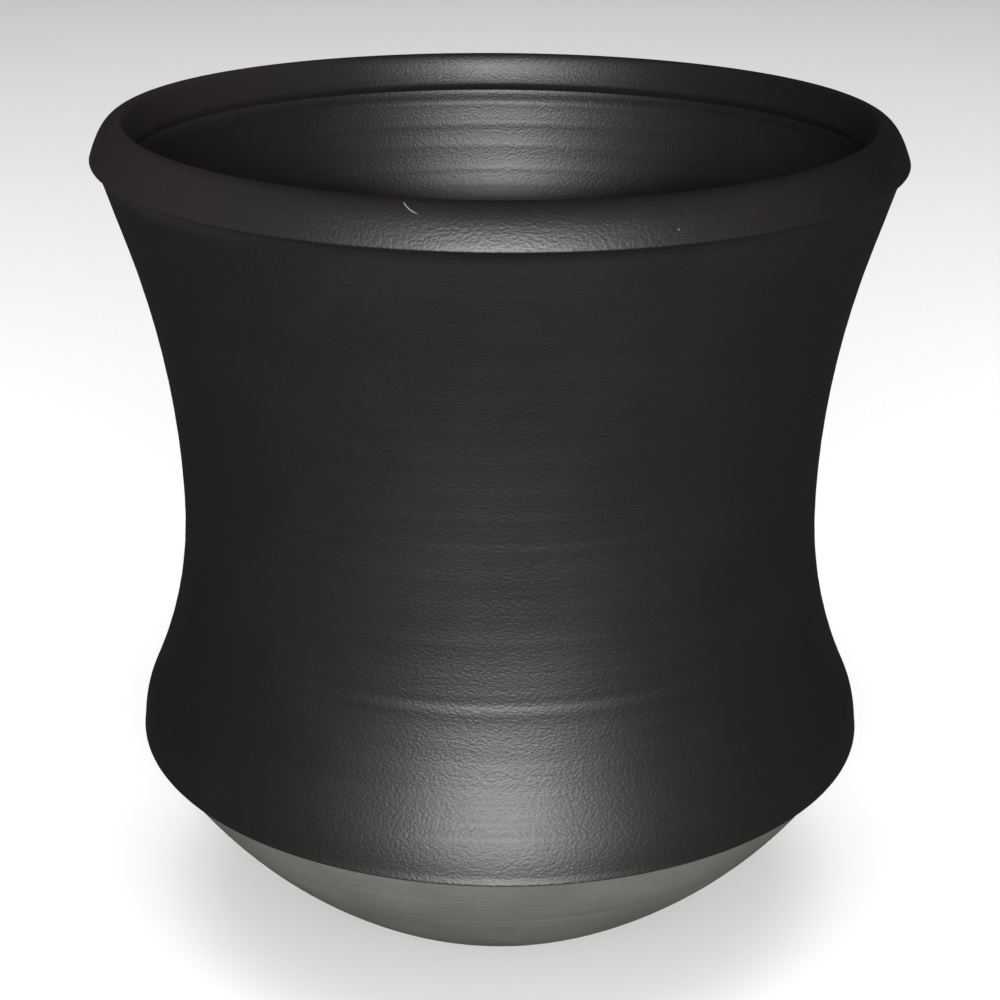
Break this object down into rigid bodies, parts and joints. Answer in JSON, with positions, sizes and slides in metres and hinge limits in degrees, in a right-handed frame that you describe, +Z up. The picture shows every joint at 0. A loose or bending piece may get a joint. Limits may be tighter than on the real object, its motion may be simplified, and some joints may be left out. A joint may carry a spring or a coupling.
{
  "type": "clay planter",
  "caption": "Waisted round clay pot with a flared mouth, a thick rolled rim, a burnished black wall and a bare rounded base on a small flat foot.",
  "frame": {"origin": "centre of the foot's underside", "axes": "+Z up along the pot's axis, towards the rim"},
  "size_m": [0.3, 0.3, 0.311],
  "materials": {
    "burnished_clay": "satin black, burnished before firing, with a fine pebbled grain",
    "raw_clay": "matt grey, scraped smooth and left unburnished"
  },
  "bodies": {
    "root": {"foot_slab": "raw_clay", "base_bowl": "raw_clay", "belly_course": "burnished_clay", "lower_wall": "burnished_clay", "upper_wall": "burnished_clay", "rolled_rim": "burnished_clay"}
  },
  "joints": []
}
